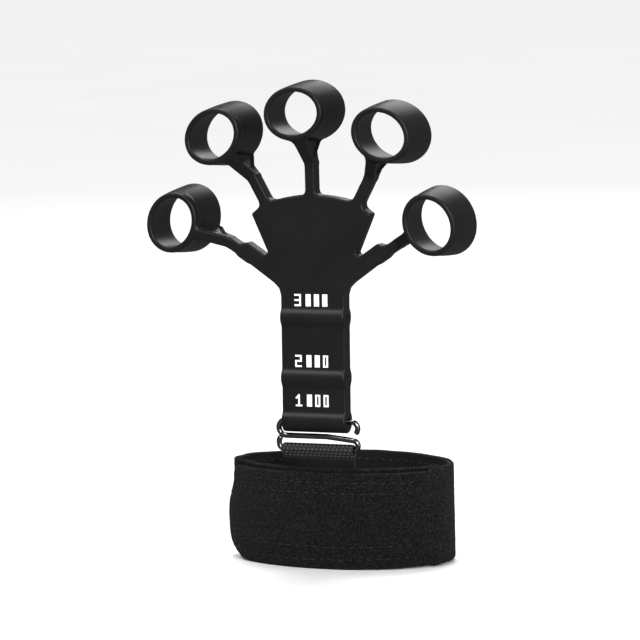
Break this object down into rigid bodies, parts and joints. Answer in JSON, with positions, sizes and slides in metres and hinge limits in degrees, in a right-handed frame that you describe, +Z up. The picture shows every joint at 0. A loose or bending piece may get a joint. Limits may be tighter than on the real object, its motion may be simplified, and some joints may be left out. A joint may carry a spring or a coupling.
{
  "type": "finger exerciser",
  "caption": "Finger stretcher: a soft hand with a loop for each finger, hooked by a bent wire to webbing on a wrap-round wrist band.",
  "frame": {"origin": "on the floor under the middle of the object's bounding box", "axes": "+Z up from the band to the fingers, +X towards the little-finger loop, -Y out of the palm's printed front"},
  "size_m": [0.1092, 0.047, 0.159],
  "materials": {
    "silicone": "satin",
    "print": "matte",
    "steel_wire": "polished",
    "webbing": "woven",
    "thread": "satin",
    "loop_pile": "brushed",
    "foam": "matte",
    "lining": "matte",
    "hook_tape": "matte"
  },
  "bodies": {
    "band": {"webbing_tail": "webbing", "webbing_stitching": "thread", "band_face": "loop_pile", "band_core": "foam", "band_lining": "lining", "band_stitching": "thread"},
    "flap": {"flap_face": "loop_pile", "flap_core": "foam", "flap_lining": "lining", "flap_stitching": "thread", "hook_patch": "hook_tape"},
    "webbing": {"webbing_loop": "webbing"},
    "hook": {"wire_hook": "steel_wire"},
    "hand_foot": {"tunnel_bottom": "silicone", "stem_lower": "silicone", "tunnel_middle": "silicone", "stem_middle": "silicone", "level_mark_two": "print", "level_mark_one": "print"},
    "palm": {"stem_flex": "silicone", "tunnel_top": "silicone", "stem_upper": "silicone", "palm": "silicone", "level_mark_three": "print"},
    "thumb_strap_end": {"thumb_strap": "silicone"},
    "thumb_loop": {"thumb_loop": "silicone"},
    "index_strap_end": {"index_strap": "silicone"},
    "index_loop": {"index_loop": "silicone"},
    "middle_strap_end": {"middle_strap": "silicone"},
    "middle_loop": {"middle_loop": "silicone"},
    "ring_strap_end": {"ring_strap": "silicone"},
    "ring_loop": {"ring_loop": "silicone"},
    "little_strap_end": {"little_strap": "silicone"},
    "little_loop": {"little_loop": "silicone"}
  },
  "joints": [
    {"name": "flap_peel", "type": "hinge", "parent": "band", "child": "flap", "pos_m": [0.03847, -0.00724, 0.016], "axis": [0, 0, 1], "range_deg": [0, 110]},
    {"name": "webbing_flex", "type": "hinge", "parent": "band", "child": "webbing", "pos_m": [0.0011, -0.0132, 0.0332], "axis": [1, 0, 0], "range_deg": [-30, 30], "stiffness_Nm_per_rad": 0.1, "deforming": ["webbing_loop"]},
    {"name": "hook_swing", "type": "hinge", "parent": "webbing", "child": "hook", "pos_m": [0.0011, -0.0132, 0.0384], "axis": [-1, 0, 0], "range_deg": [-75, 75]},
    {"name": "hand_swing", "type": "hinge", "parent": "hook", "child": "hand_foot", "pos_m": [0.0013, -0.0132, 0.0481], "axis": [1, 0, 0], "range_deg": [-90, 90]},
    {"name": "stem_bend", "type": "hinge", "parent": "hand_foot", "child": "palm", "pos_m": [0.0013, -0.0132, 0.0751], "axis": [-1, 0, 0], "range_deg": [-40, 40], "stiffness_Nm_per_rad": 0.12, "deforming": ["stem_flex"]},
    {"name": "thumb_stretch", "type": "slide", "parent": "palm", "child": "thumb_strap_end", "axis": [-0.848, 0, 0.5299], "range_m": [0, 0.01], "stiffness_N_per_m": 600, "deforming": ["thumb_strap"]},
    {"name": "thumb_curl", "type": "hinge", "parent": "thumb_strap_end", "child": "thumb_loop", "pos_m": [-0.02732, -0.0132, 0.10621], "axis": [0.5299, 0, 0.848], "range_deg": [-45, 60], "stiffness_Nm_per_rad": 0.02, "deforming": ["thumb_strap"]},
    {"name": "index_stretch", "type": "slide", "parent": "palm", "child": "index_strap_end", "axis": [-0.4695, 0, 0.8829], "range_m": [0, 0.012], "stiffness_N_per_m": 600, "deforming": ["index_strap"]},
    {"name": "index_curl", "type": "hinge", "parent": "index_strap_end", "child": "index_loop", "pos_m": [-0.01857, -0.0132, 0.12703], "axis": [0.8829, 0, 0.4695], "range_deg": [-45, 60], "stiffness_Nm_per_rad": 0.02, "deforming": ["index_strap"]},
    {"name": "middle_stretch", "type": "slide", "parent": "palm", "child": "middle_strap_end", "axis": [0, 0, 1], "range_m": [0, 0.012], "stiffness_N_per_m": 600, "deforming": ["middle_strap"]},
    {"name": "middle_curl", "type": "hinge", "parent": "middle_strap_end", "child": "middle_loop", "pos_m": [0.0013, -0.0132, 0.1315], "axis": [1, 0, 0], "range_deg": [-45, 60], "stiffness_Nm_per_rad": 0.02, "deforming": ["middle_strap"]},
    {"name": "ring_stretch", "type": "slide", "parent": "palm", "child": "ring_strap_end", "axis": [0.4695, 0, 0.8829], "range_m": [0, 0.012], "stiffness_N_per_m": 600, "deforming": ["ring_strap"]},
    {"name": "ring_curl", "type": "hinge", "parent": "ring_strap_end", "child": "ring_loop", "pos_m": [0.02117, -0.0132, 0.12703], "axis": [0.8829, 0, -0.4695], "range_deg": [-45, 60], "stiffness_Nm_per_rad": 0.02, "deforming": ["ring_strap"]},
    {"name": "little_stretch", "type": "slide", "parent": "palm", "child": "little_strap_end", "axis": [0.848, 0, 0.5299], "range_m": [0, 0.01], "stiffness_N_per_m": 600, "deforming": ["little_strap"]},
    {"name": "little_curl", "type": "hinge", "parent": "little_strap_end", "child": "little_loop", "pos_m": [0.02992, -0.0132, 0.10621], "axis": [0.5299, 0, -0.848], "range_deg": [-45, 60], "stiffness_Nm_per_rad": 0.02, "deforming": ["little_strap"]}
  ]
}
